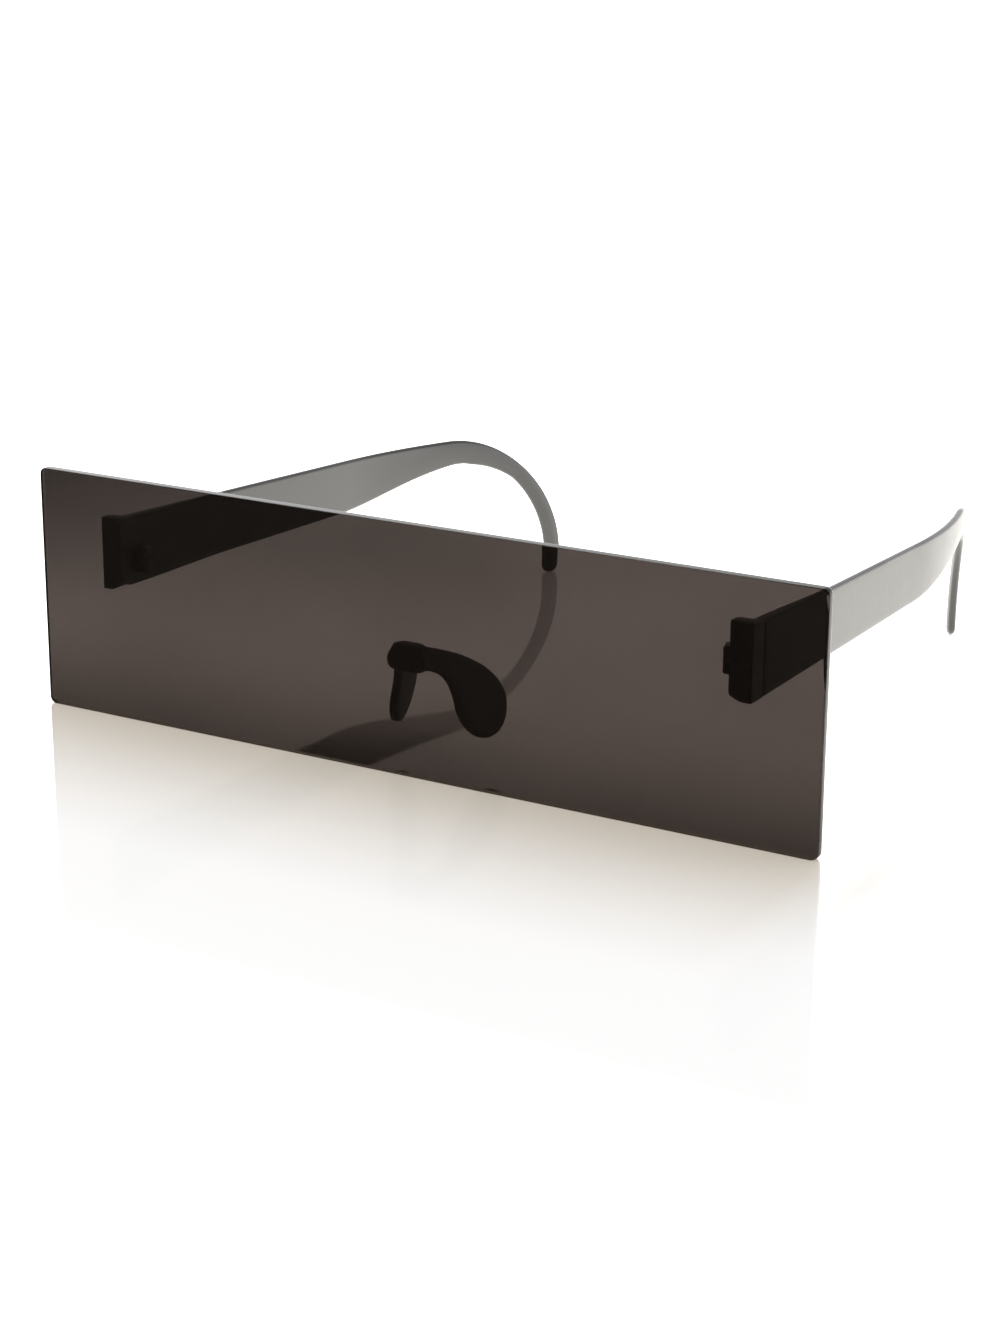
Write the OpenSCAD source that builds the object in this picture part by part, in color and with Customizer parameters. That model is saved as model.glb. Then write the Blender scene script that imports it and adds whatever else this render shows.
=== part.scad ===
// Novelty sunglasses: one flat rectangular lens, a saddle nose bridge and two folding temples.
// Left and right are the wearer's: left is +X. The lens faces -Y and the temples run back along +Y.
// The origin is on the surface that the glasses stand on, under the middle of their outline.
// Inside the modules y is measured from the middle of the lens sheet and z from the lens's centre.

/* [Lens] */
// Width of the lens
lens_w = 150; // [140:1:165]
// Height of the lens
lens_h = 43; // [39:0.5:47]
// Thickness of the lens sheet
lens_t = 1.8; // [1.5:0.1:2.4]
// Radius of the lens's corners
lens_corner_r = 1.2; // [0.6:0.1:3]
// Polished bevel round both faces of the lens
lens_bevel = 0.2; // [0.1:0.05:0.4]

/* [End pieces] */
// Distance from each end of the lens in to the end piece's outer side
end_in = 12.5; // [10:0.1:16]
// Width of an end piece where it is glued to the lens
end_w = 4.1; // [3.6:0.1:5]
// Depth of an end piece, from the lens to the seam
end_d = 4.1; // [3.8:0.1:5.5]
// Height of an end piece
end_h = 12.9; // [12:0.1:15]
// Height of the end piece's middle above the middle of the lens
end_up = 7.65; // [6:0.05:8]
// Drop of the end piece's top towards the seam
end_drop = 0.5; // [0:0.05:1]
// Rise of the end piece's foot towards the seam
end_rise = 0.2; // [0:0.05:0.4]
// Width of the slope on the end piece's inner lower corner
end_slope_w = 2.3; // [0.8:0.1:2.6]
// Height of the slope on the end piece's inner lower corner
end_slope_h = 1.1; // [0.8:0.1:2]
// Rounding of the end piece's edges
end_edge = 0.4; // [0.2:0.05:0.5]

/* [Temples] */
// Height of a temple at the seam
arm_h = 12.2; // [10:0.1:12.4]
// Height of a temple where its taper steepens
arm_mid_h = 10.3; // [9:0.1:11]
// Distance along the top edge to where the taper steepens
arm_mid_at = 61; // [45:1:70]
// Length of the straight top edge, from the seam to the bend
arm_len = 95.5; // [85:0.5:105]
// Downward slope of the top edge, in degrees
arm_slope = 2.1; // [0:0.1:4]
// Thickness of a temple at the seam, over the hinge plate
arm_root_t = 2.9; // [2.6:0.1:3.2]
// Thickness of a temple past the hinge
arm_t = 1.5; // [1.3:0.1:2.2]
// Distance over which the thickness comes down
arm_thin_over = 30; // [20:1:45]
// Outer radius of the ear hook, seen from the side
hook_r = 27.5; // [24:0.1:30]
// Width of the strip where its steep taper ends, just past the start of the bend
bend_w = 4.7; // [4.2:0.1:6]
// Distance along the bend to that place
bend_w_at = 7.5; // [3:0.5:12]
// Width of the ear hook's strip
hook_w = 3.2; // [2.4:0.1:4]
// Distance along the bend in which the strip narrows to that width
hook_narrow_at = 20; // [15:1:35]
// Inward lean of the straight stretch, in degrees
arm_toe = 2.1; // [0:0.1:3]
// Length of the straight stretch, seen from above
arm_straight = 66; // [60:1:85]
// Radius of the inward bow behind it, seen from above
arm_bow_r = 124; // [80:1:170]
// Thickness of the ear hook's strip
hook_t = 1.5; // [1.3:0.1:2.6]
// Rounding of the temple's long edges
arm_edge_r = 0.5; // [0.2:0.05:0.7]
// Chamfer round the temple's butt end
butt_chamfer = 0.3; // [0.1:0.05:0.5]
// How far the open left temple stands outward of its drawn angle, in degrees
open_left = 0.9; // [-1:0.1:1]
// How far the open right temple stands outward of its drawn angle, in degrees
open_right = -0.6; // [-1:0.1:1]

/* [Hinges] */
// Gap between the knuckles and the end piece's inner side
knuckle_side = 0.1; // [0.05:0.01:0.5]
// Distance of the hinge screw behind the seam
pin_back = 0.25; // [0.1:0.05:0.5]
// Height of the middle knuckle above the middle of the lens
knuckle_up = 6.4; // [5.8:0.1:7.5]
// Outer radius of a knuckle
knuckle_r = 1.4; // [1.2:0.05:1.5]
// Height of the three knuckles together
knuckles_h = 4; // [3.9:0.1:5]
// Gap between two knuckles
knuckle_gap = 0.06; // [0.04:0.01:0.1]
// Thickness of the neck between a knuckle and its moulding
neck_t = 1.05; // [0.9:0.05:1.1]
// Thickness of the plate that is moulded in
plate_t = 1; // [0.6:0.1:1.1]
// Depth of the front leaf's plate inside the end piece
front_plate_in = 1; // [0.6:0.1:1.5]
// Depth of the temple leaf's plate inside the temple
temple_plate_in = 0.6; // [0.4:0.1:0.8]
// Height of the temple leaf's plate
temple_plate_h = 3.6; // [2:0.1:6]
// Length of the temple leaf's plate
temple_plate_len = 8; // [4:0.5:12]
// Radius of the screw's shank
screw_r = 0.6; // [0.5:0.05:0.7]
// Radius of the screw's head
screw_head_r = 1.15; // [0.9:0.05:1.2]
// Height of the screw's head
screw_head_h = 0.6; // [0.4:0.05:0.9]
// Width of the screwdriver slot
screw_slot_w = 0.3; // [0.2:0.05:0.4]
// Depth of the screwdriver slot
screw_slot_d = 0.25; // [0.15:0.05:0.35]
// Radial clearance of the screw in the turning knuckles
screw_run = 0.05; // [0.02:0.01:0.08]
// Radial clearance of the thread in the lowest knuckle
screw_grip = 0.01; // [0.01:0.005:0.02]
// Gap at the seam between an end piece and its temple
seam_gap = 0.15; // [0.12:0.01:0.2]
// How far the temple's top edge lies below the end piece's at the seam
seam_step = 0.3; // [0:0.05:0.4]

/* [Nose bridge] */
// Width of the foot that is glued to the lens
foot_w = 8; // [7:0.1:10]
// Height of that foot
foot_h = 4.6; // [4:0.1:6]
// Depth of that foot
foot_d = 3.4; // [2.4:0.1:4]
// Height of the foot's top above the middle of the lens
foot_top = 0.85; // [0.2:0.05:1.2]
// Thickness of a pad
pad_t = 1.7; // [1.2:0.1:2]
// Half of the distance between the pads' outer faces at the lens, level with its middle
pad_x = 3; // [2.2:0.1:3]
// Angle by which the pads open towards the face, in degrees
pad_flare = 16; // [12:1:22]
// Angle by which the pads open downwards, in degrees
pad_splay = 12; // [10:1:18]
// Distance of the pads' rear edge behind the lens
pad_reach = 16.4; // [14:0.1:18]
// Distance of the pads' front edge behind the lens
pad_front = 5.7; // [4.5:0.1:7]
// Distance of the pads' lowest point behind the lens
pad_low_at = 11; // [9.5:0.1:12.5]
// Depth of the pads' widest part below the middle of the lens
pad_wide_down = 10.2; // [9:0.1:11]
// Depth of the pads' lowest point below the middle of the lens
pad_drop = 16.6; // [15.5:0.1:18]

/* [Hidden] */
$fn = 48;

glass_back = lens_t / 2;
floor_z = -lens_h / 2;
seam_y = glass_back + end_d;
butt_y = seam_y + seam_gap;
end_out_x = lens_w / 2 - end_in;
end_in_x = end_out_x - end_w;
end_top = end_up + end_h / 2;
end_foot = end_up - end_h / 2;
pin_x = end_in_x - knuckle_side - knuckle_r;
pin_y = seam_y + pin_back;
knuckle_h = (knuckles_h - 2 * knuckle_gap) / 3;
knuckle_pitch = knuckle_h + knuckle_gap;
arm_in_x = end_out_x - arm_root_t;
arm_top = end_top - end_drop - seam_step;
tip_r = hook_w / 2;

// Where the bend starts on the top edge, and the centre of its arc
bend_y = butt_y + arm_len * cos(arm_slope);
bend_z = arm_top - arm_len * sin(arm_slope);
hook_c = [bend_y - hook_r * sin(arm_slope), bend_z - hook_r * cos(arm_slope)];
// The bend ends where its round tip stands on the surface that the lens stands on
mid_r = hook_r - tip_r;
hook_turn = acos((floor_z + tip_r - hook_c[1]) / mid_r) + asin(tip_r / mid_r) - arm_slope;
edge_len = arm_len + hook_r * hook_turn * PI / 180;

// Smooth step from 0 to 1
function ease(u) = let (v = min(1, max(0, u))) v * v * (3 - 2 * v);
function mix(a, b, u) = a + (b - a) * u;
function bezier(p, u) =
    pow(1 - u, 3) * p[0] + 3 * u * pow(1 - u, 2) * p[1] + 3 * u * u * (1 - u) * p[2] + pow(u, 3) * p[3];

// An outline with each corner eased over the distance r along its two sides
function eased(pts, r, steps = 4) = [
    for (i = [0 : len(pts) - 1])
        let (
            b = pts[i],
            a = pts[(i + len(pts) - 1) % len(pts)] - b,
            c = pts[(i + 1) % len(pts)] - b,
            p = b + a * r / norm(a),
            q = b + c * r / norm(c)
        )
        for (k = [0 : steps])
            let (u = k / steps) pow(1 - u, 2) * p + 2 * u * (1 - u) * b + u * u * q
];

// Largest rounding of a strip's corners, as a share of its width or thickness
round_share = 0.48;

// A rounded strip section, w wide along its first axis and t thick along its second
function strip(w, t, r, steps = 3) =
    let (e = min(r, round_share * w, round_share * t), mid = [[w - e, t - e], [e, t - e], [e, e], [w - e, e]])
    [
        for (i = [0 : 3])
            for (k = [0 : steps])
                let (turn = 90 * i + 90 * k / steps) mid[i] + e * [cos(turn), sin(turn)]
    ];

// A closed solid through rings of the same number of points
module loft(rings) {
    n = len(rings[0]);
    last = (len(rings) - 1) * n;
    points = [for (ring = rings) each ring];
    walls = [
        for (i = [0 : len(rings) - 2])
            for (j = [0 : n - 1])
                let (a = i * n + j, b = i * n + (j + 1) % n)
                each [[a, b + n, b], [a, a + n, b + n]]
    ];
    first_cap = [for (j = [1 : n - 2]) [0, j, j + 1]];
    last_cap = [for (j = [1 : n - 2]) [last, last + j + 1, last + j]];
    polyhedron(points, concat(walls, first_cap, last_cap), convexity = 8);
}

// Temple, seen from above: a straight lean inward and then a bow
bow_y = butt_y + arm_straight;
bow_x = end_out_x - arm_straight * tan(arm_toe);
// The bow stops short of turning square across, whatever its radius
bow_limit = 72;
function lean_at(y) = y < bow_y ? arm_toe : asin(min(sin(bow_limit), sin(arm_toe) + (y - bow_y) / arm_bow_r));
function side_x(y) = y < bow_y
    ? end_out_x - (y - butt_y) * tan(arm_toe)
    : bow_x - arm_bow_r * (cos(arm_toe) - cos(lean_at(y)));

// Temple, seen from the side: the top edge, the direction across the strip and its width
function turn_at(s) = s < arm_len ? arm_slope * s / arm_len : arm_slope + (s - arm_len) / hook_r * 180 / PI;
function edge_at(s) = s < arm_len
    ? [butt_y + s * cos(arm_slope), arm_top - s * sin(arm_slope)]
    : hook_c + hook_r * [sin(turn_at(s)), cos(turn_at(s))];
function across_at(s) = [-sin(turn_at(s)), -cos(turn_at(s))];
bend_w_s = arm_len + bend_w_at;
function width_at(s) =
    s < arm_mid_at ? mix(arm_h, arm_mid_h, s / arm_mid_at)
    : s < bend_w_s ? mix(arm_mid_h, bend_w, ease((s - arm_mid_at) / (bend_w_s - arm_mid_at)))
    : mix(bend_w, hook_w, min(1, (s - bend_w_s) / (hook_narrow_at - bend_w_at)));
function thick_at(s) = s < arm_mid_at
    ? mix(arm_root_t, arm_t, ease(s / arm_thin_over))
    : mix(arm_t, hook_t, ease((s - arm_mid_at) / (arm_len - arm_mid_at)));

// One ring of the temple at s, taken in by in_w at each edge and by in_t at each side
function arm_ring(s, in_w = 0, in_t = 0) = [
    for (p = strip(width_at(s) - 2 * in_w, thick_at(s) - 2 * in_t, arm_edge_r))
        let (
            side = edge_at(s) + across_at(s) * (p[0] + in_w),
            lean = lean_at(side[0]),
            d = p[1] + in_t
        )
        [side_x(side[0]) - d * cos(lean), side[0] - d * sin(lean), side[1]]
];
arm_steps = 24;
hook_steps = 30;
tip_steps = 5;
// The last ring of the round tip stops just short of a point
tip_end = 80;
arm_rings = concat(
    [arm_ring(0, butt_chamfer, butt_chamfer)],
    [for (i = [0 : arm_steps - 1]) arm_ring(mix(butt_chamfer, arm_len, i / arm_steps))],
    [for (i = [0 : hook_steps - 1]) arm_ring(mix(arm_len, edge_len - tip_r, i / hook_steps))],
    [
        for (i = [0 : tip_steps])
            let (a = tip_end * i / tip_steps)
            arm_ring(edge_len - tip_r * (1 - sin(a)), tip_r * (1 - cos(a)), hook_t / 2 * (1 - cos(a)))
    ]
);

// The outline's middle, front to back, for the origin
function opened_y(p, open) = pin_y + (p[1] - pin_y) * cos(open) - (p[0] - pin_x) * sin(open);
back_y = max([for (ring = arm_rings) for (p = ring) max(opened_y(p, open_left), opened_y(p, open_right))]);
middle_y = (back_y - lens_t / 2) / 2;

// Pad edges, seen from the side, as [distance behind the lens, height]: neck first, then the pad's round
foot_low = foot_top - foot_h;
pad_rear = [pad_reach, -pad_wide_down];
pad_fore = [pad_front, -pad_wide_down];
pad_low = [pad_low_at, -pad_drop];
// The necks start inside the foot, at its top and a little above its bottom
neck_top = [1, foot_top];
neck_low = [1, foot_low + 0.5];
// The neck's two edges leave the foot towards these
neck_crest = [6, -0.6];
neck_arch = [4.4, -4.25];
// They come in to the pad's widest part from these
rear_above = pad_rear + [-1.2, 6.2];
fore_above = pad_fore + [-0.1, 4.1];
// The pad's round goes on from there and closes in along these
rear_below = pad_rear + [0, -3.8];
fore_below = pad_fore + [0.1, -3.4];
low_behind = pad_low + [3.4, 0];
low_ahead = pad_low - [2.8, 0];
upper_neck = [neck_top, neck_crest, rear_above, pad_rear];
upper_pad = [pad_rear, rear_below, low_behind, pad_low];
lower_neck = [neck_low, neck_arch, fore_above, pad_fore];
lower_pad = [pad_fore, fore_below, low_ahead, pad_low];
// Outer face of the left pad, and the direction from it to the pad's inner face
function pad_out_x(p) = pad_x + tan(pad_flare) * p[0] - tan(pad_splay) * p[1];
pad_in = let (v = [-1, tan(pad_flare), -tan(pad_splay)]) v / norm(v);

// Near the pad's lowest point its thickness stays below this share of its width
pad_thick_share = 0.9;
function pad_ring(upper, lower) =
    let (w = norm(lower - upper), t = min(pad_t, pad_thick_share * w))
    [
        for (p = strip(w, t, pad_t / 2, 3))
            let (side = mix(upper, lower, p[0] / w))
            [pad_out_x(side), side[0], side[1]] + pad_in * (p[1] + (pad_t - t) / 2)
    ];
pad_steps = 9;
// The last ring of the pad's round stops just short of a point
pad_end = 0.97;
pad_rings = concat(
    [
        for (i = [0 : pad_steps - 1])
            let (u = i / pad_steps)
            pad_ring(bezier(upper_neck, u), bezier(lower_neck, u))
    ],
    [
        for (i = [0 : pad_steps])
            let (u = pad_end * sin(90 * i / pad_steps))
            pad_ring(bezier(upper_pad, u), bezier(lower_pad, u))
    ]
);

// Foot of the nose bridge: its outline on the lens, drawn in towards its rounded back
foot_wide_z = foot_top - 0.6 * foot_h;
foot_top_x = 0.3 * foot_w;
foot_low_x = 0.4 * foot_w;
foot_outline = [
    [-foot_top_x, foot_top], [-foot_w / 2, foot_wide_z], [-foot_low_x, foot_low],
    [foot_low_x, foot_low], [foot_w / 2, foot_wide_z], [foot_top_x, foot_top]
];
foot_round = 1;
foot_back_r = 1.6;
foot_steps = 5;
foot_mid = [0, foot_top - foot_h / 2];
function foot_ring(y, inset) =
    let (share = 1 - 2 * inset / foot_h)
    [for (p = eased(foot_outline, foot_round)) let (q = foot_mid + (p - foot_mid) * share) [q[0], y, q[1]]];
foot_rings = concat(
    [foot_ring(0, 0)],
    [
        for (i = [0 : foot_steps])
            let (a = 90 * i / foot_steps)
            foot_ring(foot_d - foot_back_r * (1 - sin(a)), foot_back_r * (1 - cos(a)))
    ]
);

// Puts the glasses on their origin
module placed() {
    translate([0, -middle_y, -floor_z]) children();
}

// Puts a piece that is modelled on the left on the right
module on_right() {
    mirror([1, 0, 0]) children();
}

// Turns a left temple's pieces outward about the hinge screw
module opened(angle) {
    translate([pin_x, pin_y, 0])
        rotate(-angle)
            translate([-pin_x, -pin_y, 0])
                children();
}

// A prism along y, from y0 to y1, whose outline is in x and z
module prism_y(y0, y1) {
    translate([0, y1, 0])
        rotate([90, 0, 0])
            linear_extrude(y1 - y0)
                children();
}

// A prism along x, from x0 to x1, whose outline is in y and z
module prism_x(x0, x1) {
    translate([x0, 0, 0])
        rotate([90, 0, 90])
            linear_extrude(x1 - x0)
                children();
}

// A box given by its lowest and highest corners
module box(low, high) {
    translate(low) cube(high - low);
}

// A bevelled sheet's section, w wide and t thick
function bevelled(w, t, c) = [
    [-w / 2 + c, -t / 2], [w / 2 - c, -t / 2], [w / 2, -t / 2 + c], [w / 2, t / 2 - c],
    [w / 2 - c, t / 2], [-w / 2 + c, t / 2], [-w / 2, t / 2 - c], [-w / 2, -t / 2 + c]
];

module lens() {
    color([0.26, 0.23, 0.22, 0.75])
        placed()
            intersection() {
                prism_y(-lens_t / 2, lens_t / 2) {
                    square([lens_w - 2 * lens_corner_r, lens_h], center = true);
                    square([lens_w, lens_h - 2 * lens_corner_r], center = true);
                    for (sx = [-1, 1], sz = [-1, 1])
                        translate([sx * (lens_w / 2 - lens_corner_r), sz * (lens_h / 2 - lens_corner_r)])
                            circle(lens_corner_r);
                }
                translate([0, 0, floor_z])
                    linear_extrude(lens_h)
                        polygon(bevelled(lens_w, lens_t, lens_bevel));
                rotate([0, 90, 0])
                    rotate([0, 0, 90])
                        translate([0, 0, -lens_w / 2])
                            linear_extrude(lens_w)
                                rotate(90)
                                    polygon(bevelled(lens_h, lens_t, lens_bevel));
            }
}

module nose_bridge() {
    color([0.14, 0.14, 0.14])
        placed()
            translate([0, glass_back, 0]) {
                loft([for (i = [len(foot_rings) - 1 : -1 : 0]) foot_rings[i]]);
                loft(pad_rings);
                on_right() loft(pad_rings);
            }
}

// Middle of a knuckle: level 1 is the upper one, 0 the middle one and -1 the lowest
function knuckle_z(level) = knuckle_up + level * knuckle_pitch;

module knuckle(level, bore_r) {
    translate([pin_x, pin_y, knuckle_z(level)])
        difference() {
            cylinder(r = knuckle_r, h = knuckle_h, center = true);
            cylinder(r = bore_r, h = 2 * knuckle_h, center = true);
        }
}

// Neck of a knuckle, from the knuckle's wall to far_x, with its front side at y
module neck(level, y, far_x) {
    difference() {
        box(
            [pin_x, y, knuckle_z(level) - knuckle_h / 2],
            [far_x, y + neck_t, knuckle_z(level) + knuckle_h / 2]
        );
        translate([pin_x, pin_y, 0]) cylinder(r = knuckle_r - knuckle_side, h = 4 * end_top, center = true);
    }
}

front_plate_x = end_in_x + front_plate_in;
front_neck_y = pin_y - knuckle_r;
temple_plate_x = arm_in_x + temple_plate_in;
temple_neck_y = pin_y + knuckle_r - neck_t;

// Metal of the front leaf past its knuckles: two necks and the plate inside the end piece
module front_leaf() {
    for (level = [-1, 1]) neck(level, front_neck_y, front_plate_x);
    box(
        [front_plate_x, glass_back + plate_t, knuckle_up - knuckles_h / 2],
        [front_plate_x + plate_t, front_neck_y + neck_t, knuckle_up + knuckles_h / 2]
    );
}

module front_hinge() {
    color("silver")
        placed() {
            knuckle(1, screw_r + screw_run);
            knuckle(-1, screw_r + screw_grip);
            front_leaf();
        }
}

// Metal of the temple's leaf past its knuckle: the neck and the plate inside the temple
module temple_leaf() {
    neck(0, temple_neck_y, temple_plate_x);
    box(
        [temple_plate_x, temple_neck_y, knuckle_up - temple_plate_h / 2],
        [temple_plate_x + plate_t, temple_neck_y + temple_plate_len, knuckle_up + temple_plate_h / 2]
    );
}

module temple_hinge(open) {
    color("silver")
        placed()
            opened(open) {
                knuckle(0, screw_r + screw_run);
                temple_leaf();
            }
}

// Cheese-head screw, put in from above, its end level with the lowest knuckle
module hinge_screw() {
    color("lightgray")
        placed()
            translate([pin_x, pin_y, knuckle_up + knuckles_h / 2])
                difference() {
                    union() {
                        translate([0, 0, -knuckles_h]) cylinder(r = screw_r, h = knuckles_h);
                        cylinder(r = screw_head_r, h = screw_head_h);
                    }
                    translate([-2 * screw_head_r, -screw_slot_w / 2, screw_head_h - screw_slot_d])
                        cube([4 * screw_head_r, screw_slot_w, screw_head_h]);
                }
}

// Front, side and top outlines of the end piece
end_level = end_d / 3;
end_front = [
    [end_in_x, end_foot + end_slope_h], [end_in_x + end_slope_w, end_foot], [end_out_x, end_foot],
    [end_out_x, end_top], [end_in_x, end_top]
];
end_side = [
    [glass_back, end_foot], [seam_y, end_foot + end_rise],
    [seam_y, end_top - end_drop], [glass_back + end_level, end_top], [glass_back, end_top]
];
end_plan = [
    [end_in_x, glass_back], [end_out_x, glass_back], [end_out_x, seam_y], [end_in_x, seam_y]
];

module end_piece() {
    color([0.14, 0.14, 0.14])
        placed()
            difference() {
                intersection() {
                    prism_y(glass_back, seam_y) polygon(eased(end_front, end_edge));
                    prism_x(end_in_x, end_out_x) polygon(eased(end_side, end_edge));
                    translate([0, 0, end_foot]) linear_extrude(end_h) polygon(eased(end_plan, end_edge));
                }
                front_leaf();
            }
}

module temple(open) {
    color([0.3, 0.3, 0.3])
        placed()
            opened(open)
                difference() {
                    loft(arm_rings);
                    temple_leaf();
                }
}

module end_piece_left() { end_piece(); }
module end_piece_right() { on_right() end_piece(); }
module front_hinge_left() { front_hinge(); }
module front_hinge_right() { on_right() front_hinge(); }
module temple_hinge_left() { temple_hinge(open_left); }
module temple_hinge_right() { on_right() temple_hinge(open_right); }
module hinge_screw_left() { hinge_screw(); }
module hinge_screw_right() { on_right() hinge_screw(); }
module temple_left() { temple(open_left); }
module temple_right() { on_right() temple(open_right); }

lens();
nose_bridge();
end_piece_left();
end_piece_right();
front_hinge_left();
front_hinge_right();
temple_hinge_left();
temple_hinge_right();
hinge_screw_left();
hinge_screw_right();
temple_left();
temple_right();
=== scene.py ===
"""Novelty sunglasses: one flat tinted shield, a moulded nose saddle and two folding temples.

Left and right are the wearer's: left is +X. Sizes are in millimetres until at() puts them in the row frame.
"""
import math

import bmesh
import bpy
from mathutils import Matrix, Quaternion, Vector


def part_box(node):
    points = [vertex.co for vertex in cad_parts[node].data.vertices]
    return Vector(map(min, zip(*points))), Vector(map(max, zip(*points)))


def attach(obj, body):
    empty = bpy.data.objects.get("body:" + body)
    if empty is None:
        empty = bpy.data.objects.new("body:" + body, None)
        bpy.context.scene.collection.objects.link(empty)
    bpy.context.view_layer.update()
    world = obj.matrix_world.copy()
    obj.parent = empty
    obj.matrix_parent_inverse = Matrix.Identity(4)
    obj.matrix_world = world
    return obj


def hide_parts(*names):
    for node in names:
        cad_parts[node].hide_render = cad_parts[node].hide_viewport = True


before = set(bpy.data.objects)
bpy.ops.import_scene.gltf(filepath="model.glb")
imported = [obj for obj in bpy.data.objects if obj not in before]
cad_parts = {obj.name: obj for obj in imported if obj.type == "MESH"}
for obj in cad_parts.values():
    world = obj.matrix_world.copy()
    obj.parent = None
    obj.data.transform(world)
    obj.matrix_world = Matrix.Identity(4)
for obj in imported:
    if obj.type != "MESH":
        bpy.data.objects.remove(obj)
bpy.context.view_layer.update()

MM = 0.001

lens_low, lens_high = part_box("lens")
HOME = (lens_low + lens_high) / 2  # the lens's centre, from which every size below is measured
LENS_W, LENS_T, LENS_H = (lens_high - lens_low) / MM
GLASS_BACK = LENS_T / 2
FLOOR_Z = -LENS_H / 2


def at(x, y, z):
    """A point in millimetres from the lens's centre, in the row frame."""
    return HOME + Vector((x, y, z)) * MM


def mix(a, b, u):
    return a + (b - a) * u


def ease(u):
    u = min(1.0, max(0.0, u))
    return u * u * (3 - 2 * u)


def quarter(k, steps):
    """The angle at step k of a quarter turn."""
    return math.radians(90 * k / steps)


# Camera, fitted to the photograph

PHOTO_W, PHOTO_H = 1000, 1333
CAMERA_AT = (226.93, -352.9, 127.23)
CAMERA_AZ, CAMERA_EL, CAMERA_ROLL = 30.208, 17.644, 0.495  # degrees
FOCAL_PX = 2679.1
AXIS_PX = (518.0, 686.5)
SENSOR = 36
CLIP_START, CLIP_END = 0.01, 30  # metres


def looking(azimuth, elevation):
    """The direction in which a camera at this azimuth and elevation looks."""
    a, e = math.radians(azimuth), math.radians(elevation)
    return Vector((-math.sin(a) * math.cos(e), math.cos(a) * math.cos(e), -math.sin(e)))


def make_camera():
    data = bpy.data.cameras.new("camera")
    camera = bpy.data.objects.new("camera", data)
    bpy.context.scene.collection.objects.link(camera)
    bpy.context.scene.camera = camera
    data.sensor_width = SENSOR
    data.lens = FOCAL_PX / PHOTO_H * SENSOR
    data.shift_x = (PHOTO_W / 2 - AXIS_PX[0]) / PHOTO_H
    data.shift_y = (AXIS_PX[1] - PHOTO_H / 2) / PHOTO_H
    data.clip_start, data.clip_end = CLIP_START, CLIP_END
    aim = looking(CAMERA_AZ, CAMERA_EL).to_track_quat("-Z", "Y")
    camera.rotation_mode = "QUATERNION"
    camera.rotation_quaternion = aim @ Quaternion((0, 0, 1), math.radians(CAMERA_ROLL))
    camera.location = at(*CAMERA_AT)


# Material helpers

class Nodes:
    """An emptied node tree, filled by short calls."""

    def __init__(self, tree):
        self.tree = tree
        tree.nodes.clear()

    def add(self, kind, inputs=None, **settings):
        node = self.tree.nodes.new(kind)
        for key, value in settings.items():
            setattr(node, key, value)
        for key, value in (inputs or {}).items():
            if isinstance(value, bpy.types.NodeSocket):
                self.tree.links.new(value, node.inputs[key])
            else:
                node.inputs[key].default_value = value
        return node

    def math(self, operation, a, b=0.0, clamp=False):
        node = self.add("ShaderNodeMath", {0: a, 1: b}, operation=operation, use_clamp=clamp)
        return node.outputs[0]

    def product(self, *values):
        result = values[0]
        for value in values[1:]:
            result = self.math("MULTIPLY", result, value)
        return result

    def opposite(self, value):
        return self.math("SUBTRACT", 1.0, value)

    def ramp(self, value, low, high, to_low, to_high):
        node = self.add(
            "ShaderNodeMapRange",
            {"Value": value, "From Min": low, "From Max": high, "To Min": to_low, "To Max": to_high},
        )
        return node.outputs["Result"]

    def choice(self, switch, off, on):
        """off where the switch is 0, and on where it is 1."""
        return self.ramp(switch, 0.0, 1.0, off, on)

    def place(self):
        return self.add("ShaderNodeTexCoord").outputs["Object"]

    def noise(self, scale, detail=3.0, roughness=0.5, stretch=(1, 1, 1)):
        mapped = self.add("ShaderNodeMapping", {"Vector": self.place(), "Scale": stretch})
        node = self.add(
            "ShaderNodeTexNoise",
            {"Vector": mapped.outputs[0], "Scale": scale, "Detail": detail, "Roughness": roughness},
        )
        return node.outputs["Fac"]

    def mix(self, share, a, b):
        node = self.add("ShaderNodeMix", {0: share, 6: a, 7: b}, data_type="RGBA")
        return node.outputs[2]

    def bump(self, height, strength, distance, normal=None):
        inputs = {"Height": height, "Strength": strength, "Distance": distance}
        if normal is not None:
            inputs["Normal"] = normal
        return self.add("ShaderNodeBump", inputs).outputs["Normal"]

    def show(self, shader, output="ShaderNodeOutputMaterial"):
        self.tree.links.new(shader.outputs[0], self.add(output).inputs["Surface"])


def new_material(name):
    """A material and its empty tree."""
    material = bpy.data.materials.new(name)
    material.use_nodes = True
    return material, Nodes(material.node_tree)


def grey(value, warm=0.0):
    return (value * (1 + warm), value, value * (1 - warm), 1)


# Materials. A noise's scale is per metre, and depths are in millimetres

CONTRAST = (0.35, 0.65, 0, 1)  # spreads the middle of a noise over the whole range
SOFT_CONTRAST = (0.3, 0.7)  # the part of a noise over which a roughness changes

FLOW = {"scale": 90, "detail": 4.0, "roughness": 0.55, "stretch": (1, 0.35, 1)}
FLOW_BUMP, FLOW_DEPTH, TONE_SPREAD = 0.12, 0.02, 0.08
GRAIN_DETAIL, GRAIN_ROUGHNESS, GRAIN_BUMP = 2.0, 0.6, 0.35
BLOTCH = {"scale": 420}
ROUGH_SPREAD = 0.015
RUBBED_FROM, RUBBED_TO = 0.52, 0.6  # pointiness where an edge starts to be rubbed, and where it is
RUBBED_SHARE, RUBBED_TONE, RUBBED_SMOOTHER = 0.35, 1.6, 0.08
PLASTIC_IOR = 1.5

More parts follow.
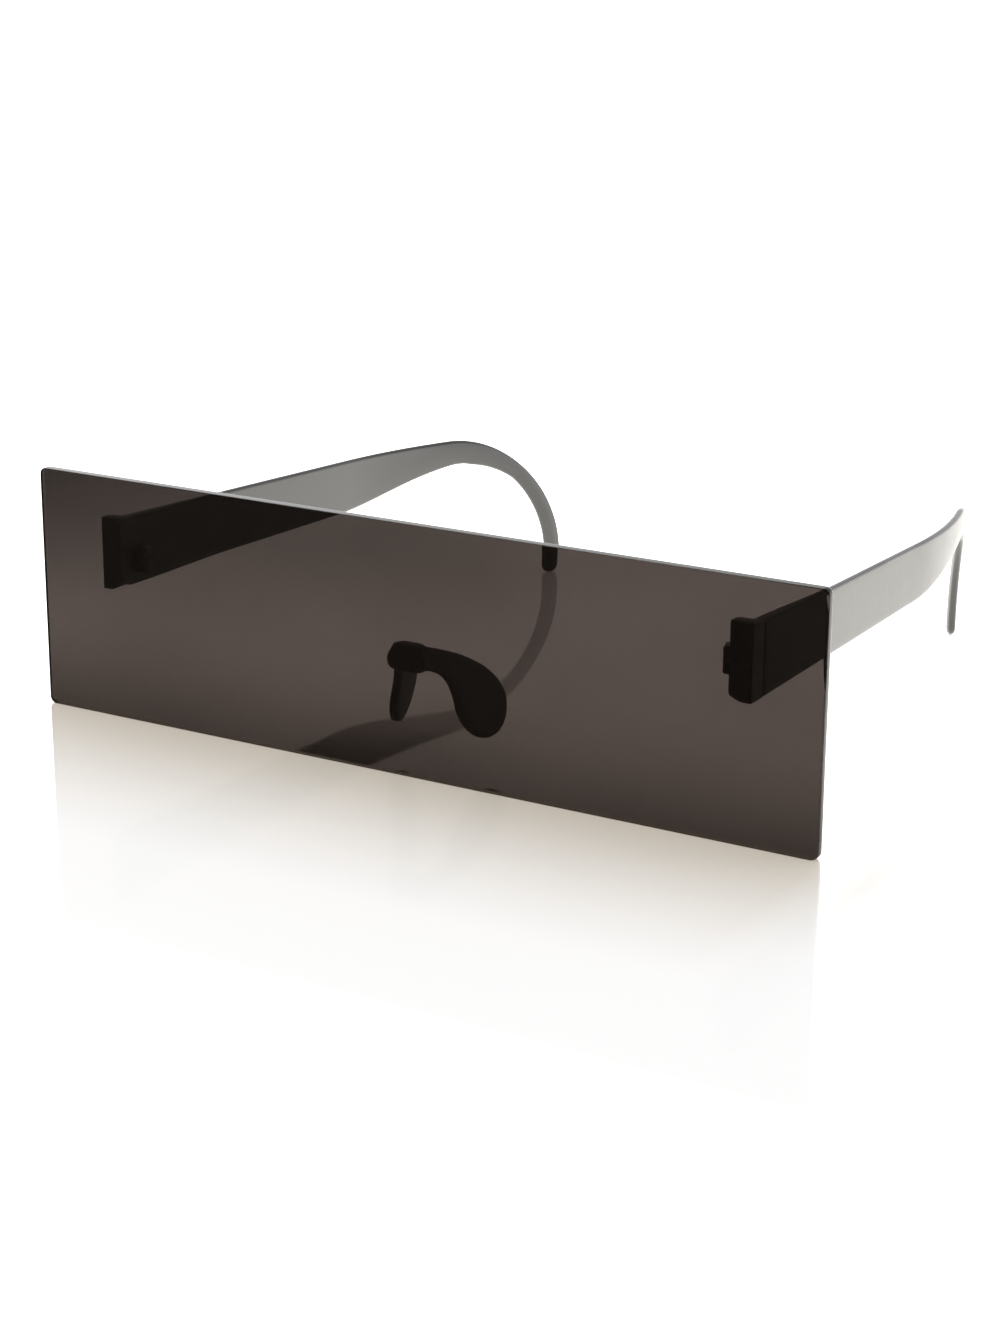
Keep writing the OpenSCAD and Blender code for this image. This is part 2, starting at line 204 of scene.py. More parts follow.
CLOUD = {"scale": 28, "stretch": (1, 1, 1.6)}
RIPPLE = {"scale": 160, "detail": 2.0}
TINT_SPREAD, RIPPLE_BUMP, RIPPLE_DEPTH = 0.05, 0.1, 0.002
GLASS_IOR, GLASS_SPECULAR = 1.49, (0.03, 0.03, 0.03, 1)
DUST, DUST_ROUGHNESS, DUST_TINT = 0.009, 1.0, (1, 0.8, 0.62, 1)

STAIN = {"scale": 350}
STAIN_CONTRAST, STAIN_TONE, STAIN_WARM = (0.35, 0.7, 0, 1), 0.75, 0.03
BRUSHED_DETAIL, BRUSHED_ROUGHNESS, BRUSHED_BUMP, BRUSHED_DEPTH = 4.0, 0.6, 0.3, 0.01
BRUSHED_SMOOTHER, BRUSHED_ROUGHER = 0.06, 0.08


def moulded_plastic(name, tone, warm, rough, grain, grain_depth):
    """Injection-moulded plastic: faint flow marks, a fine spark-eroded grain and handled, smoother edges."""
    material, n = new_material(name)
    flow = n.noise(**FLOW)
    fine = n.noise(grain, GRAIN_DETAIL, GRAIN_ROUGHNESS)
    blotch = n.noise(**BLOTCH)
    colour = n.mix(
        n.ramp(flow, *CONTRAST), grey(tone * (1 - TONE_SPREAD), warm), grey(tone * (1 + TONE_SPREAD), warm)
    )
    edge = n.add("ShaderNodeNewGeometry").outputs["Pointiness"]
    rubbed = n.ramp(edge, RUBBED_FROM, RUBBED_TO, 0, 1)
    colour = n.mix(n.product(rubbed, RUBBED_SHARE), colour, grey(tone * RUBBED_TONE, warm))
    roughness = n.ramp(blotch, *SOFT_CONTRAST, rough - ROUGH_SPREAD, rough + ROUGH_SPREAD)
    roughness = n.math("SUBTRACT", roughness, n.product(rubbed, RUBBED_SMOOTHER))
    normal = n.bump(fine, GRAIN_BUMP, grain_depth * MM)
    normal = n.bump(flow, FLOW_BUMP, FLOW_DEPTH * MM, normal)
    shader = n.add(
        "ShaderNodeBsdfPrincipled",
        {"Base Color": colour, "Roughness": roughness, "Normal": normal, "IOR": PLASTIC_IOR},
    )
    n.show(shader)
    return material


def tinted_glass(name, lets_through, shade):
    """Clear sheet dyed brown, a little unevenly, with faint ripples from its moulding and a trace of dust.

    shade is its colour for the light that it casts on what lies behind it.
    """
    material, n = new_material(name)
    cloud = n.noise(**CLOUD)
    thin = tuple(share * (1 + TINT_SPREAD) for share in lets_through) + (1,)
    thick = tuple(share * (1 - TINT_SPREAD) for share in lets_through) + (1,)
    shader = n.add(
        "ShaderNodeBsdfPrincipled",
        {
            "Base Color": n.mix(n.ramp(cloud, *CONTRAST), thin, thick),
            "Roughness": 0.0, "IOR": GLASS_IOR, "Transmission Weight": 1.0, "Specular Tint": GLASS_SPECULAR,
            "Sheen Weight": DUST, "Sheen Roughness": DUST_ROUGHNESS, "Sheen Tint": DUST_TINT,
            "Normal": n.bump(n.noise(**RIPPLE), RIPPLE_BUMP, RIPPLE_DEPTH * MM),
        },
    )
    path = n.add("ShaderNodeLightPath").outputs
    unbent = n.math("MAXIMUM", path["Is Shadow Ray"], path["Is Diffuse Ray"])
    clear = n.add("ShaderNodeBsdfTransparent", {"Color": shade + (1,)})
    n.show(n.add("ShaderNodeMixShader", {0: unbent, 1: shader.outputs[0], 2: clear.outputs[0]}))
    return material


def metal(name, tone, rough, scale, stretch):
    """Brushed steel with faint stains."""
    material, n = new_material(name)
    brushed = n.noise(scale, BRUSHED_DETAIL, BRUSHED_ROUGHNESS, stretch)
    stain = n.ramp(n.noise(**STAIN), *STAIN_CONTRAST)
    shader = n.add(
        "ShaderNodeBsdfPrincipled",
        {
            "Base Color": n.mix(stain, grey(tone), grey(tone * STAIN_TONE, STAIN_WARM)),
            "Metallic": 1.0,
            "Roughness": n.ramp(brushed, *SOFT_CONTRAST, rough - BRUSHED_SMOOTHER, rough + BRUSHED_ROUGHER),
            "Normal": n.bump(brushed, BRUSHED_BUMP, BRUSHED_DEPTH * MM),
        },
    )
    n.show(shader)
    return material


# Mesh helpers

MERGE, CAD_MERGE = 1e-7, 2e-6  # metres within which points of a new mesh and of a CAD mesh are one
FLAT_ANGLE, SHARP_ANGLE = math.radians(1), math.radians(35)
BEVEL_SEGMENTS = 3
EVEN_WEIGHT = 100
GLUE = 0.02  # thickness of the glue between the lens and what it carries
EDGE_LIMIT = 0.48  # the largest rounding of a strip's edges, as a share of its width or thickness
SUPPORTS = (0.08, 0.3, 0.5, 0.7, 0.92)  # where a strip's flat has points, close to its corners to keep it flat


def finish_piece(piece, material, body, flat_ends=True):
    """A loft's ends have many corners and stay flat."""
    piece.data.materials.clear()
    piece.data.materials.append(material)
    bm = bmesh.new()
    bm.from_mesh(piece.data)
    bmesh.ops.remove_doubles(bm, verts=bm.verts, dist=MERGE)
    bmesh.ops.recalc_face_normals(bm, faces=bm.faces)
    for face in bm.faces:
        face.smooth = len(face.verts) < 5 or not flat_ends
    bm.to_mesh(piece.data)
    bm.free()
    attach(piece, body)
    return piece


def new_piece(name, verts, faces, material, slot, body):
    mesh = bpy.data.meshes.new(name)
    mesh.from_pydata([tuple(v) for v in verts], [], faces)
    mesh.validate()
    piece = bpy.data.objects.new(name, mesh)
    bpy.context.scene.collection.objects.link(piece)
    return finish_piece(piece, material, body)


def refined(node, name, width, material, body):
    """A finer copy of a CAD node: its coplanar faces joined and its sharp edges rounded to this width."""
    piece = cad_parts[node].copy()
    piece.data = piece.data.copy()
    piece.parent = None
    for key in list(piece.keys()):
        del piece[key]
    piece.name = name
    piece.hide_render = piece.hide_viewport = False
    bpy.context.scene.collection.objects.link(piece)
    bm = bmesh.new()
    bm.from_mesh(piece.data)
    bmesh.ops.remove_doubles(bm, verts=bm.verts, dist=CAD_MERGE)
    bmesh.ops.dissolve_limit(bm, angle_limit=FLAT_ANGLE, verts=bm.verts, edges=bm.edges)
    edges = [e for e in bm.edges if len(e.link_faces) == 2 and e.calc_face_angle() > SHARP_ANGLE]
    bmesh.ops.bevel(
        bm, geom=edges, offset=width * MM, segments=BEVEL_SEGMENTS, profile=0.5, affect="EDGES",
        clamp_overlap=True,
    )
    bm.to_mesh(piece.data)
    bm.free()
    finish_piece(piece, material, body, flat_ends=False)
    even = piece.modifiers.new("even_normals", "WEIGHTED_NORMAL")
    even.weight, even.keep_sharp = EVEN_WEIGHT, False
    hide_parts(node)
    return piece


def clear_of_lens(piece):
    """Keeps a piece's glued face behind the lens by the glue's thickness."""
    glued_y = at(0, GLASS_BACK + GLUE, 0).y
    for v in piece.data.vertices:
        v.co.y = max(v.co.y, glued_y)


def loft(rings):
    """Vertices and faces of a closed skin through rings of the same number of points."""
    count = len(rings[0])
    verts = [p for ring in rings for p in ring]
    faces = []
    for i in range(len(rings) - 1):
        for j in range(count):
            a, b = i * count + j, i * count + (j + 1) % count
            faces.append((a, a + count, b + count, b))
    faces.append(tuple(reversed(range(count))))
    last = (len(rings) - 1) * count
    faces.append(tuple(range(last, last + count)))
    return verts, faces


def strip(w, t, r, steps=5, crown=0.0):
    """A strip's section, w wide and t thick: its edges are rounded, and its flats swell by crown."""
    e = min(r, EDGE_LIMIT * w, EDGE_LIMIT * t)
    points = []
    for i, (cx, cy) in enumerate([(w - e, t - e), (e, t - e), (e, e), (w - e, e)]):
        for k in range(steps + 1):
            turn = math.radians(90 * i + 90 * k / steps)
            points.append((cx + e * math.cos(turn), cy + e * math.sin(turn)))
        # The first and third corners are followed by a flat
        if i in (0, 2):
            start, end = (w - e, e) if i == 0 else (e, w - e)
            for u in SUPPORTS:
                x = mix(start, end, u)
                swell = crown * (1 - (2 * u - 1) ** 2)
                points.append((x, t + swell) if i == 0 else (x, -swell))
    return points


# Temples: their sizes as in the part's source, apart from the edges, the butt's rounding and the crowns

END_IN, END_D, END_H, END_UP, END_DROP = 12.5, 4.1, 12.9, 7.65, 0.5
SEAM_GAP, SEAM_STEP = 0.15, 0.3
PIN_X, PIN_BACK = 56.9, 0.25
ARM_H, ARM_MID_H, ARM_MID_AT, ARM_LEN, ARM_SLOPE = 12.2, 10.3, 61, 95.5, math.radians(2.1)
ARM_ROOT_T, ARM_T, ARM_THIN_OVER = 2.9, 1.5, 30
ARM_TOE, ARM_STRAIGHT, ARM_BOW_R = math.radians(2.1), 66, 124
NECK_W, NECK_AT = 4.7, 7.5
HOOK_R, HOOK_W, HOOK_T, HOOK_NARROW_AT = 27.5, 3.2, 1.5, 20
ARM_EDGE_R, BUTT_ROUND, ARM_CROWN, HOOK_CROWN = 0.7, 0.3, 0.08, 0.2
OPEN = {"left": math.radians(0.9), "right": math.radians(-0.6)}  # outward from the drawn line
STEEPEST = 0.95  # the largest sine of the bow's lean
BUTT_STEPS, EDGE_STEPS, HOOK_STEPS, TIP_STEPS = 3, 90, 80, 8
TIP_TURN = math.radians(86)  # short of a quarter turn, which would leave the tip without a face

SEAM_Y = GLASS_BACK + END_D
BUTT_Y = SEAM_Y + SEAM_GAP
END_OUT_X = LENS_W / 2 - END_IN
PIN_Y = SEAM_Y + PIN_BACK
ARM_TOP = END_UP + END_H / 2 - END_DROP - SEAM_STEP
NECK_S = ARM_LEN + NECK_AT
TIP_R = HOOK_W / 2
BEND = (BUTT_Y + ARM_LEN * math.cos(ARM_SLOPE), ARM_TOP - ARM_LEN * math.sin(ARM_SLOPE))
HOOK_C = (BEND[0] - HOOK_R * math.sin(ARM_SLOPE), BEND[1] - HOOK_R * math.cos(ARM_SLOPE))
MID_R = HOOK_R - TIP_R
HOOK_TURN = math.acos((FLOOR_Z + TIP_R - HOOK_C[1]) / MID_R) + math.asin(TIP_R / MID_R) - ARM_SLOPE
EDGE_LEN = ARM_LEN + HOOK_R * HOOK_TURN
BOW_Y = BUTT_Y + ARM_STRAIGHT
BOW_X = END_OUT_X - ARM_STRAIGHT * math.tan(ARM_TOE)


def lean_at(y):
    """How far a temple leans inward at this place behind the lens."""
    if y < BOW_Y:
        return ARM_TOE
    return math.asin(min(STEEPEST, math.sin(ARM_TOE) + (y - BOW_Y) / ARM_BOW_R))


def side_x(y):
    """Where a temple's outer side is."""
    if y < BOW_Y:
        return END_OUT_X - (y - BUTT_Y) * math.tan(ARM_TOE)
    return BOW_X - ARM_BOW_R * (math.cos(ARM_TOE) - math.cos(lean_at(y)))


def turn_at(s):
    """How far a temple's top edge points down at this length along it."""
    return ARM_SLOPE * s / ARM_LEN if s < ARM_LEN else ARM_SLOPE + (s - ARM_LEN) / HOOK_R


def edge_at(s):
    if s < ARM_LEN:
        return BUTT_Y + s * math.cos(ARM_SLOPE), ARM_TOP - s * math.sin(ARM_SLOPE)
    return HOOK_C[0] + HOOK_R * math.sin(turn_at(s)), HOOK_C[1] + HOOK_R * math.cos(turn_at(s))


def past_middle(s):
    return ease((s - ARM_MID_AT) / (ARM_LEN - ARM_MID_AT))


def width_at(s):
    if s < ARM_MID_AT:
        return mix(ARM_H, ARM_MID_H, s / ARM_MID_AT)
    if s < NECK_S:
        return mix(ARM_MID_H, NECK_W, ease((s - ARM_MID_AT) / (NECK_S - ARM_MID_AT)))
    return mix(NECK_W, HOOK_W, min(1, (s - NECK_S) / (HOOK_NARROW_AT - NECK_AT)))


def thick_at(s):
    if s < ARM_MID_AT:
        return mix(ARM_ROOT_T, ARM_T, ease(s / ARM_THIN_OVER))
    return mix(ARM_T, HOOK_T, past_middle(s))


def arm_ring(s, side, in_w=0.0, in_t=0.0):
    """A temple's section at length s, drawn in by in_w and in_t, and turned about the hinge's pin."""
    (edge_y, edge_z), turn = edge_at(s), turn_at(s)
    cos_open, sin_open = math.cos(OPEN[side]), math.sin(OPEN[side])
    crown = mix(ARM_CROWN, HOOK_CROWN, past_middle(s))
    ring = []
    for along, deep in strip(width_at(s) - 2 * in_w, thick_at(s) - 2 * in_t, ARM_EDGE_R, crown=crown):
        w, d = along + in_w, deep + in_t
        y, z = edge_y - math.sin(turn) * w, edge_z - math.cos(turn) * w
        lean = lean_at(y)
        dx = side_x(y) - d * math.cos(lean) - PIN_X
        dy = y - d * math.sin(lean) - PIN_Y
        x = PIN_X + dx * cos_open + dy * sin_open
        y = PIN_Y - dx * sin_open + dy * cos_open
        ring.append(at(x if side == "left" else -x, y, z))
    return ring


def make_temple(side, material):
    rings = []
    for k in range(BUTT_STEPS + 1):
        a = quarter(k, BUTT_STEPS)
        inset = BUTT_ROUND * (1 - math.sin(a))
        rings.append(arm_ring(BUTT_ROUND * (1 - math.cos(a)), side, inset, inset))
    for i in range(1, EDGE_STEPS):
        rings.append(arm_ring(mix(BUTT_ROUND, ARM_LEN, i / EDGE_STEPS), side))
    for i in range(HOOK_STEPS):
        rings.append(arm_ring(mix(ARM_LEN, EDGE_LEN - TIP_R, i / HOOK_STEPS), side))
    for k in range(TIP_STEPS + 1):
        a = TIP_TURN * k / TIP_STEPS
        drawn_in = 1 - math.cos(a)
        rings.append(
            arm_ring(EDGE_LEN - TIP_R * (1 - math.sin(a)), side, TIP_R * drawn_in, HOOK_T / 2 * drawn_in)
        )
    piece = new_piece(f"temple_arm_{side}", *loft(rings), material, "temple_plastic", f"{side}_temple")
    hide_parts(f"temple_{side}")


# Nose saddle: its foot and two pads, as in the part's source, made one moulding by a remesh

FOOT_W, FOOT_H, FOOT_D, FOOT_TOP = 8, 4.6, 3.4, 0.85
FOOT_LOW = FOOT_TOP - FOOT_H
FOOT_TOP_X, FOOT_LOW_X, FOOT_WIDE_Z = 0.3 * FOOT_W, 0.4 * FOOT_W, FOOT_TOP - 0.6 * FOOT_H
FOOT_OUTLINE = [
    (-FOOT_TOP_X, FOOT_TOP), (-FOOT_W / 2, FOOT_WIDE_Z), (-FOOT_LOW_X, FOOT_LOW),
    (FOOT_LOW_X, FOOT_LOW), (FOOT_W / 2, FOOT_WIDE_Z), (FOOT_TOP_X, FOOT_TOP),
]
FOOT_BACK_R, FOOT_ROUND = 1.6, 1
FOOT_STEPS, FOOT_ROUND_STEPS = 10, 8

PAD_T, PAD_X, PAD_FLARE, PAD_SPLAY = 1.7, 3, math.tan(math.radians(16)), math.tan(math.radians(12))
PAD_REACH, PAD_FRONT, PAD_LOW_AT, PAD_WIDE, PAD_DROP = 16.4, 5.7, 11, 10.2, 16.6
PAD_STEPS, PAD_EDGE_STEPS = 26, 6
PAD_END, PAD_THIN = 0.985, 0.9  # where the pad's curves stop, and its thickness there as a share of its width

# Four curves give a pad's outline, each by four points as (behind the lens, up)
UPPER_NECK = [(1, FOOT_TOP), (6, -0.6), (PAD_REACH - 1.2, 6.2 - PAD_WIDE), (PAD_REACH, -PAD_WIDE)]
UPPER_PAD = [
    (PAD_REACH, -PAD_WIDE), (PAD_REACH, -PAD_WIDE - 3.8),
    (PAD_LOW_AT + 3.4, -PAD_DROP), (PAD_LOW_AT, -PAD_DROP),
]
LOWER_NECK = [(1, FOOT_LOW + 0.5), (4.4, -4.25), (PAD_FRONT - 0.1, 4.1 - PAD_WIDE), (PAD_FRONT, -PAD_WIDE)]
LOWER_PAD = [
    (PAD_FRONT, -PAD_WIDE), (PAD_FRONT + 0.1, -PAD_WIDE - 3.4),
    (PAD_LOW_AT - 2.8, -PAD_DROP), (PAD_LOW_AT, -PAD_DROP),
]

SADDLE_VOXEL = 0.14
SADDLE_SMOOTHING = 10


def bezier(p, u):
    a, b, c, d = (Vector(q) for q in p)
    return (1 - u) ** 3 * a + 3 * u * (1 - u) ** 2 * b + 3 * u * u * (1 - u) * c + u ** 3 * d


def pad_rings(side):
    pairs = []
    for i in range(PAD_STEPS):
        u = i / PAD_STEPS
        pairs.append((bezier(UPPER_NECK, u), bezier(LOWER_NECK, u)))
    for i in range(PAD_STEPS + 1):
        u = PAD_END * math.sin(quarter(i, PAD_STEPS))
        pairs.append((bezier(UPPER_PAD, u), bezier(LOWER_PAD, u)))
    inward = Vector((-1, PAD_FLARE, -PAD_SPLAY)).normalized()
    rings = []
    for upper, lower in pairs:
        w = (lower - upper).length
        t = min(PAD_T, PAD_THIN * w)
        ring = []
        for along, deep in strip(w, t, PAD_T / 2, steps=PAD_EDGE_STEPS):
            edge = upper.lerp(lower, along / w)
            p = Vector((PAD_X + PAD_FLARE * edge[0] - PAD_SPLAY * edge[1], edge[0], edge[1]))
            p += inward * (deep + (PAD_T - t) / 2)
            ring.append(at(p.x if side == "left" else -p.x, GLASS_BACK + p.y, p.z))
        rings.append(ring)
    return rings


def eased(corners, reach, steps):
    """An outline with its corners rounded, each by a curve that starts and ends at this reach from it."""
    outline = []
    for i, corner in enumerate(corners):
        b, a, c = Vector(corner), Vector(corners[i - 1]), Vector(corners[(i + 1) % len(corners)])
        p, q = b + (a - b).normalized() * reach, b + (c - b).normalized() * reach
        for k in range(steps + 1):
            u = k / steps
            outline.append((1 - u) ** 2 * p + 2 * u * (1 - u) * b + u * u * q)
    return outline


def foot_rings():
    outline = eased(FOOT_OUTLINE, FOOT_ROUND, FOOT_ROUND_STEPS)
    middle = Vector((0, FOOT_TOP - FOOT_H / 2))
    levels = [(0, 0)]
    for k in range(FOOT_STEPS + 1):
        a = quarter(k, FOOT_STEPS)
        levels.append((FOOT_D - FOOT_BACK_R * (1 - math.sin(a)), FOOT_BACK_R * (1 - math.cos(a))))
    rings = []
    for depth, inset in levels:
        share = 1 - 2 * inset / FOOT_H
        ring = [middle + (p - middle) * share for p in outline]
        rings.append([at(p[0], GLASS_BACK + depth, p[1]) for p in ring])
    return rings


def make_saddle(material):
    verts, faces = [], []
    for rings in (foot_rings(), pad_rings("left"), pad_rings("right")):
        v, f = loft(rings)
        faces += [tuple(i + len(verts) for i in face) for face in f]
        verts += v
    piece = new_piece("nose_saddle", verts, faces, material, "nose_plastic", "front")
    bpy.context.view_layer.objects.active = piece
    remesh = piece.modifiers.new("skin", "REMESH")
    remesh.mode = "VOXEL"
    remesh.voxel_size = SADDLE_VOXEL * MM
    remesh.use_smooth_shade = True
    smooth = piece.modifiers.new("fillets", "CORRECTIVE_SMOOTH")
    smooth.iterations = SADDLE_SMOOTHING
    smooth.use_only_smooth = True
    for name in ("skin", "fillets"):
        bpy.ops.object.modifier_apply(modifier=name)
    clear_of_lens(piece)
    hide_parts("nose_bridge")


# Lens: a sheet with rounded corners, polished bevels along its length and rounder ends

LENS_CORNER_R, LENS_BEVEL, LENS_END_R = 1.2, 0.1, 0.5
LENS_STEPS = 8


def rounded(depth, r):
    """How far a rounding of radius r draws an edge in at this depth below the face."""
    return r - math.sqrt(max(0.0, r * r - max(0.0, r - depth) ** 2))


def lens_outline(depth):
    inset = rounded(depth, LENS_BEVEL)
    r = LENS_CORNER_R - inset
    hw, hh = LENS_W / 2 - rounded(depth, LENS_END_R), LENS_H / 2 - inset
    points = []
    for i, (sx, sz) in enumerate([(1, 1), (-1, 1), (-1, -1), (1, -1)]):
        for k in range(LENS_STEPS + 1):
            a = math.radians(90 * i + 90 * k / LENS_STEPS)
            points.append((sx * (hw - r) + r * math.cos(a), sz * (hh - r) + r * math.sin(a)))
    return points


def make_lens(material):
    turns = [quarter(k, LENS_STEPS) for k in range(LENS_STEPS + 1)]
    depths = sorted({round(r * (1 - math.cos(a)), 5) for r in (LENS_BEVEL, LENS_END_R) for a in turns})
    levels = [(depth - GLASS_BACK, depth) for depth in depths]
    levels += [(GLASS_BACK - depth, depth) for depth in reversed(depths)]
    rings = [[at(x, y, z) for x, z in lens_outline(depth)] for y, depth in levels]
    piece = new_piece("lens_shield", *loft(rings), material, "tinted_lens", "front")
    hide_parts("lens")


# Studio levels, where 1 is white

WHITE, BLACK = (1, 1, 1, 1), (0, 0, 0, 1)
WORLD_LIGHT, WORLD_SHOWN = 0.9, 1.0
WORLD_GLOSS = (0.25, 0.65, 1.5, 0.2)  # from this height to this one, gloss sees this level fall to this one

FLOOR_HALF = 3.0
# The second colour is the lens's brown shadow, painted into the floor's colour near it
FLOOR_WHITE, FLOOR_LENS_SHADOW = (0.88, 0.88, 0.88, 1), (0.66, 0.62, 0.55, 1)
MIRRORED_WARM = (1, 0.965, 0.89, 1)
FLOOR_IOR, FLOOR_GLOSS, FLOOR_ROUGH = 1.5, 5.5, 0.04
# Painted shade: the floor in front of the lens is a quarter as bright in gloss, and gloss seen through the
# lens mirrors a fifth of the glow
MIRRORED_FRONT_SHADE, GLOSS_BEYOND = 0.25, 0.2

# Each of these goes from its third number to its fourth between two places, in metres
# Where the lens's painted brown shadow lies on the floor, behind or in front of it and across
LENS_SHADOW_BEHIND, LENS_SHADOW_ACROSS = (0.003, 0.05, 1.0, 0.0), (0.075, 0.09, 1.0, 0.0)
# Painted shade on what the lens lets through, close behind it, far behind it and towards the wearer's right
FAR_SHADE_BEHIND, FAR_SHADE_ACROSS = (0.055, 0.115, 0.0, 0.3), (-0.09, -0.01, 1.0, 0.0)
ASIDE_SHADE_ACROSS = (-0.2, -0.11, 0.5, 1.0)
CLOSE_SHADE = (0.0, 0.025, 0.33, 1.0)
GLOW_AHEAD, GLOW_BEHIND = (-0.008, -0.035, 0.0, 0.08), (0.0, 0.03, 0.0, 0.35)
GLOW_THROUGH = (0.0, 0.04, 0.0, 0.62)
GLOW_MIRRORED = (0.0, 0.045, 0.5, 2.3)


def make_world():
    """White all round, and darker overhead for what the gloss shows."""
    world = bpy.data.worlds.new("studio")
    bpy.context.scene.world = world
    world.use_nodes = True
    n = Nodes(world.node_tree)
    path = n.add("ShaderNodeLightPath").outputs
    up = n.add("ShaderNodeSeparateXYZ", {0: n.add("ShaderNodeTexCoord").outputs["Generated"]}).outputs["Z"]
    shown = n.math("MAXIMUM", path["Is Camera Ray"], path["Is Transmission Ray"])
    level = n.choice(path["Is Glossy Ray"], WORLD_LIGHT, n.ramp(up, *WORLD_GLOSS))
    level = n.choice(shown, level, WORLD_SHOWN)
    n.show(n.add("ShaderNodeBackground", {"Color": WHITE, "Strength": level}), "ShaderNodeOutputWorld")


def floor_material():
    """White acrylic with levels of its own for the camera, for the lens and for gloss.

    The photograph's floor is overexposed behind the lens, so there it glows for what the lens lets through
    and for what gloss mirrors.
    """
    material, n = new_material("white_acrylic")
    spot = n.add("ShaderNodeSeparateXYZ", {0: n.place()}).outputs
    across = spot["X"]
    behind = n.math("SUBTRACT", spot["Y"], HOME.y)
    at_back = n.math("GREATER_THAN", behind, 0.0)
    path = n.add("ShaderNodeLightPath").outputs
    through = path["Is Transmission Ray"]
    mirrored = n.product(path["Is Glossy Ray"], n.opposite(through))

    # Painted shade on what the lens lets through: darker close behind it and on the wearer's right
    far_shade = n.opposite(n.product(n.ramp(behind, *FAR_SHADE_BEHIND), n.ramp(across, *FAR_SHADE_ACROSS)))
    aside_shade = n.ramp(across, *ASIDE_SHADE_ACROSS)
    shade = n.product(n.ramp(behind, *CLOSE_SHADE), far_shade, aside_shade)

    # The matte colour: painted shade where the lens dims it, and the lens's brown shadow painted in, warmer
    # and darker near it, where its brown light falls
    in_front = n.product(mirrored, n.opposite(at_back))
    # Painted shade on the matte colour, for what the lens lets through and for the floor in front of it as
    # gloss mirrors it
    matte_shade = n.product(n.choice(through, 1.0, shade), n.choice(in_front, 1.0, MIRRORED_FRONT_SHADE))
    # warm: how much of the lens's painted brown shadow the floor shows here
    warm = n.product(
        n.ramp(n.math("ABSOLUTE", behind), *LENS_SHADOW_BEHIND), n.ramp(n.math("ABSOLUTE", across), *LENS_SHADOW_ACROSS)
    )
    colour = n.mix(matte_shade, BLACK, n.mix(warm, FLOOR_WHITE, FLOOR_LENS_SHADOW))
    matte = n.add("ShaderNodeBsdfDiffuse", {"Color": colour})

    # The glow, for each way in which it is seen
    direct = n.math("ADD", n.ramp(behind, *GLOW_AHEAD), n.product(at_back, n.ramp(behind, *GLOW_BEHIND)))
    direct = n.product(direct, path["Is Camera Ray"])
    # What the lens lets through of the glow takes the same painted shade
    seen_through = n.product(through, at_back, n.ramp(behind, *GLOW_THROUGH), far_shade, aside_shade)
    # Gloss seen through the lens mirrors a fifth of the glow: painted shade on what shines behind the lens
    beyond_shade = n.choice(path["Transmission Depth"], 1.0, GLOSS_BEYOND)
    in_gloss = n.product(mirrored, at_back, n.ramp(behind, *GLOW_MIRRORED), beyond_shade)
    strength = n.math("ADD", n.math("ADD", direct, seen_through), in_gloss)
    glow = n.add("ShaderNodeEmission", {"Color": n.mix(mirrored, WHITE, MIRRORED_WARM), "Strength": strength})
    base = n.add("ShaderNodeAddShader", {0: matte.outputs[0], 1: glow.outputs[0]})

    # The gloss, which other gloss doesn't mirror, dimmed by the same painted shade for what the lens lets
    # through
    fresnel = n.add("ShaderNodeFresnel", {"IOR": FLOOR_IOR}).outputs[0]
    share = n.product(
        n.math("MULTIPLY", fresnel, FLOOR_GLOSS, clamp=True), n.opposite(path["Is Reflection Ray"]),
        n.choice(through, 1.0, n.product(far_shade, aside_shade)),
    )
    gloss = n.add("ShaderNodeBsdfGlossy", {"Color": share, "Roughness": FLOOR_ROUGH})
    n.show(n.add("ShaderNodeAddShader", {0: base.outputs[0], 1: gloss.outputs[0]}))
    return material


def make_floor():
    h = FLOOR_HALF
    mesh = bpy.data.meshes.new("floor")
    mesh.from_pydata([(-h, -h, 0), (h, -h, 0), (h, h, 0), (-h, h, 0)], [], [(0, 1, 2, 3)])
    mesh.materials.append(floor_material())
    floor = bpy.data.objects.new("floor", mesh)
    bpy.context.scene.collection.objects.link(floor)


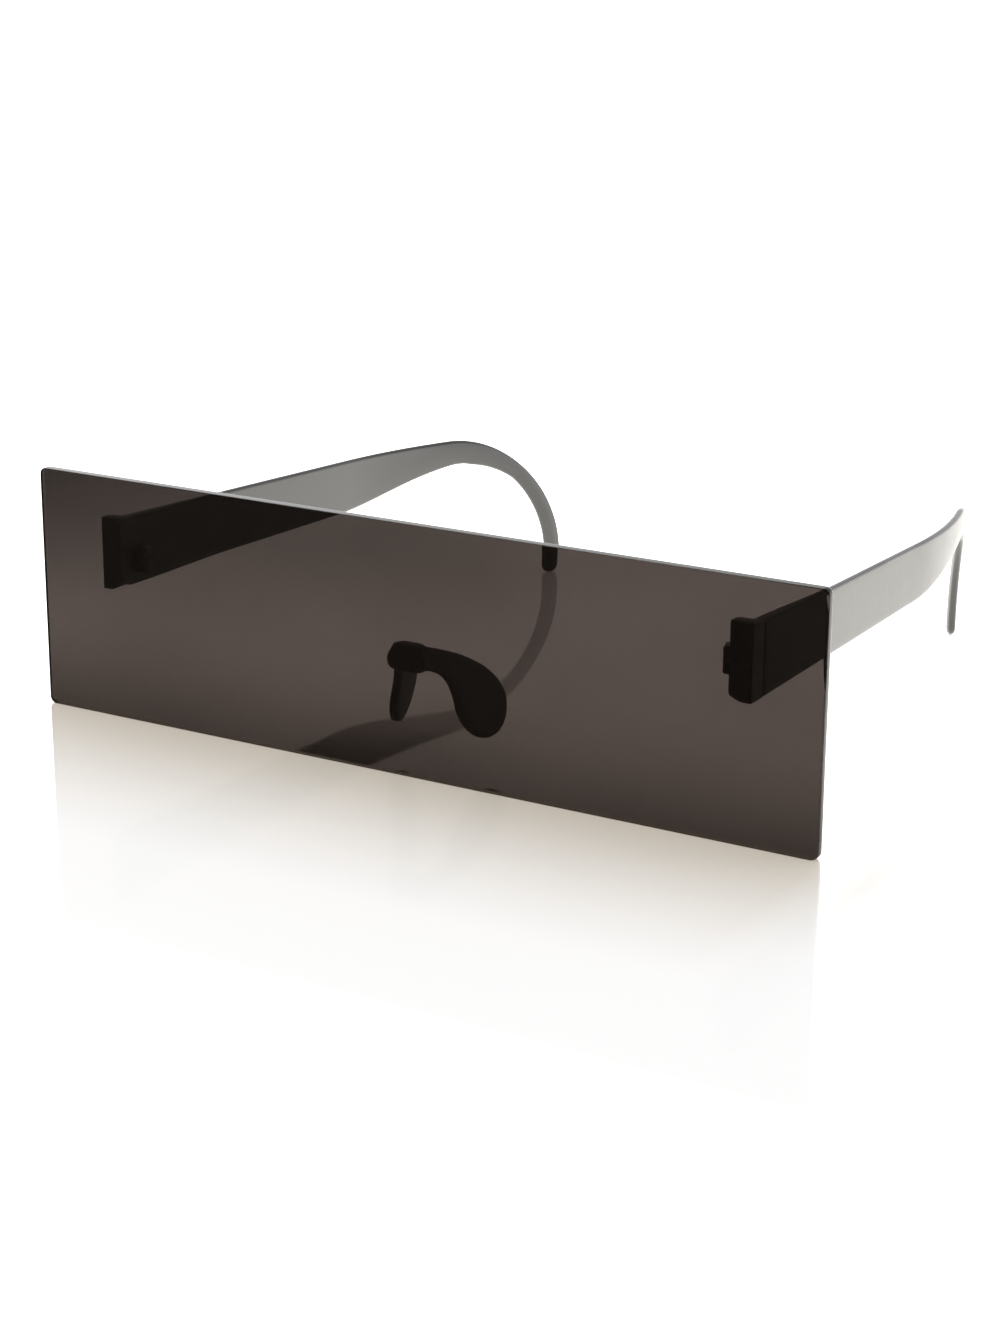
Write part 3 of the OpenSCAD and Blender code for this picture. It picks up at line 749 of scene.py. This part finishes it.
def softbox(name, place, aim, size, level):
    """A lamp whose level is the brightness it gives a white matte surface that faces it at its aim."""
    lamp = bpy.data.lights.new(name, "AREA")
    lamp.shape = "RECTANGLE"
    lamp.size, lamp.size_y = size[0] * MM, size[1] * MM
    start, end = at(*place), at(*aim)
    distance = (end - start).length
    lamp.energy = level * math.pi ** 2 * distance ** 2
    obj = bpy.data.objects.new(name, lamp)
    bpy.context.scene.collection.objects.link(obj)
    obj.location = start
    obj.rotation_mode = "QUATERNION"
    obj.rotation_quaternion = (end - start).to_track_quat("-Z", "Y")
    obj.visible_camera = False
    obj.visible_transmission = False
    return obj


make_camera()
make_world()
make_floor()
rim = softbox("rim", place=(300, 420, 60), aim=(40, 60, 0), size=(360, 160), level=0.12)
rim.visible_diffuse = False
softbox("top", place=(-60, -120, 800), aim=(0, 40, 0), size=(700, 500), level=0.15)

# The glasses

END_BEVEL, HINGE_BEVEL, SCREW_BEVEL = 0.08, 0.07, 0.06

lens_glass = tinted_glass("smoke_glass", lets_through=(0.032, 0.0254, 0.0222), shade=(0.7, 0.66, 0.62))
saddle_plastic = moulded_plastic(
    "saddle_plastic", tone=0.13, warm=0.05, rough=0.4, grain=5000, grain_depth=0.006
)
end_plastic = moulded_plastic("end_plastic", tone=0.12, warm=0.05, rough=0.36, grain=5000, grain_depth=0.006)
arm_plastic = moulded_plastic("arm_plastic", tone=0.06, warm=0.03, rough=0.3, grain=6000, grain_depth=0.003)
hinge_steel = metal("hinge_steel", tone=0.18, rough=0.35, scale=1800, stretch=(1, 1, 0.1))
screw_steel = metal("screw_steel", tone=0.55, rough=0.22, scale=1500, stretch=(0.1, 1, 1))

make_lens(lens_glass)
make_saddle(saddle_plastic)
for side in ("left", "right"):
    make_temple(side, arm_plastic)
    body = f"{side}_temple"
    end = refined(f"end_piece_{side}", f"end_block_{side}", END_BEVEL, end_plastic, "front")
    clear_of_lens(end)
    refined(f"front_hinge_{side}", f"hinge_front_{side}", HINGE_BEVEL, hinge_steel, "front")
    refined(f"temple_hinge_{side}", f"hinge_rear_{side}", HINGE_BEVEL, hinge_steel, body)
    refined(f"hinge_screw_{side}", f"screw_{side}", SCREW_BEVEL, screw_steel, "front")

view = bpy.context.scene.view_settings
view.view_transform = "Standard"
